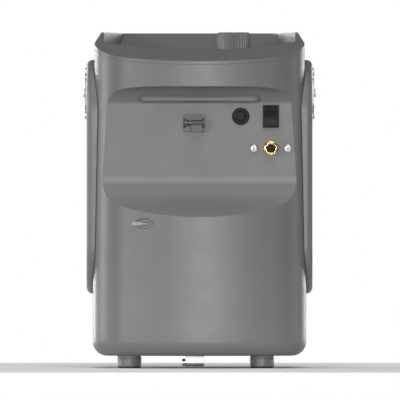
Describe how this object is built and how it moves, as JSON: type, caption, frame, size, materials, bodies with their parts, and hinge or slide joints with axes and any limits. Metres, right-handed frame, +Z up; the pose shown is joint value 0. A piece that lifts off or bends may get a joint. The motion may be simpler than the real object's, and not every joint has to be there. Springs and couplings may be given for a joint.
{
  "type": "oxygen concentrator",
  "caption": "Upright oxygen concentrator with a scooped control recess, flow knob in a top well, side pads, brass outlet, switch and fuse.",
  "frame": {"origin": "on the floor under the middle of the casing, at the underside of the feet", "axes": "+Z up; the control recess faces -Y; +X is on the right when facing the controls"},
  "size_m": [0.2146, 0.19, 0.3085],
  "materials": {
    "shell_plastic": "fine satin moulded texture",
    "knob_plastic": "satin",
    "dark_plastic": "satin",
    "black_plastic": "semi-gloss black",
    "bright_steel": "bright",
    "outlet_brass": "turned, polished",
    "cast_aluminium": "cast",
    "black_rubber": "matte",
    "clear_lens": "clear",
    "barb_plastic": "satin",
    "copper": "drawn tube",
    "board_green": "solder mask"
  },
  "bodies": {
    "casing": {"front_housing": "shell_plastic", "rear_housing": "shell_plastic", "top_cover": "shell_plastic", "base_plate": "shell_plastic", "side_panel_left": "shell_plastic", "side_panel_right": "shell_plastic", "side_screws_left": "bright_steel", "side_screws_right": "bright_steel", "strap_anchor_left": "bright_steel", "strap_anchor_right": "bright_steel", "feet": "shell_plastic", "foot_pads": "black_rubber", "docking_lug": "cast_aluminium", "docking_pin": "bright_steel", "grip_bar": "shell_plastic", "catch_bracket": "dark_plastic", "catch_pin": "bright_steel", "catch_spring": "bright_steel", "fuse_holder": "black_plastic", "switch_body": "black_plastic", "outlet_fitting": "outlet_brass", "outlet_gasket": "black_rubber", "outlet_bracket": "bright_steel", "outlet_screws": "bright_steel", "cannula_barb": "barb_plastic", "flow_valve": "outlet_brass", "status_lenses": "clear_lens", "power_inlet": "black_plastic", "inlet_contacts": "outlet_brass", "intake_filter": "black_rubber", "filter_frame": "black_plastic", "exhaust_grille": "shell_plastic", "fan_shroud": "black_plastic", "housing_screws": "bright_steel", "compressor_motor": "cast_aluminium", "crankcase_left": "cast_aluminium", "crankcase_right": "cast_aluminium", "pistons": "cast_aluminium", "cylinder_heads": "cast_aluminium", "compressor_bracket": "bright_steel", "rubber_mounts": "black_rubber", "sieve_beds": "cast_aluminium", "product_tank": "cast_aluminium", "valve_manifold": "outlet_brass", "cooling_coil": "copper", "intake_muffler": "black_plastic", "product_filter": "barb_plastic", "hoses": "black_rubber", "control_board": "board_green", "chassis": "bright_steel"},
    "knob": {"flow_knob": "knob_plastic", "valve_spindle": "bright_steel"},
    "rocker": {"switch_rocker": "black_plastic"},
    "fuse_carrier": {"fuse_link": "clear_lens", "fuse_end_caps": "bright_steel"},
    "fuse_cap": {"fuse_cap": "black_plastic"},
    "catch": {"catch_lever": "dark_plastic"},
    "fan": {"fan_rotor": "black_plastic"},
    "crank": {"crankshaft": "bright_steel"},
    "filter_door": {"filter_cover": "shell_plastic"}
  },
  "joints": [
    {"name": "knob_turn", "type": "hinge", "parent": "casing", "child": "knob", "pos_m": [0.0313, -0.02, 0.29], "axis": [0, 0, 1], "range_deg": [-300, 0]},
    {"name": "rocker_tilt", "type": "hinge", "parent": "casing", "child": "rocker", "pos_m": [0.0654, -0.072, 0.231], "axis": [1, 0, 0], "range_deg": [-20, 0]},
    {"name": "fuse_pull", "type": "slide", "parent": "casing", "child": "fuse_carrier", "axis": [0, -1, 0], "range_m": [0, 0.034]},
    {"name": "fuse_cap_turn", "type": "hinge", "parent": "fuse_carrier", "child": "fuse_cap", "pos_m": [0.0377, -0.078, 0.231], "axis": [0, 1, 0], "range_deg": [0, 90]},
    {"name": "catch_swing", "type": "hinge", "parent": "casing", "child": "catch", "pos_m": [-0.005, -0.084, 0.2249], "axis": [1, 0, 0], "range_deg": [0, 25], "stiffness_Nm_per_rad": 0.02},
    {"name": "fan_spin", "type": "hinge", "parent": "casing", "child": "fan", "pos_m": [0, 0.0785, 0.059], "axis": [0, 1, 0], "continuous": true},
    {"name": "crank_spin", "type": "hinge", "parent": "casing", "child": "crank", "pos_m": [0, -0.022, 0.076], "axis": [1, 0, 0], "continuous": true},
    {"name": "filter_pull", "type": "slide", "parent": "casing", "child": "filter_door", "axis": [0, 1, 0], "range_m": [0, 0.03]}
  ]
}
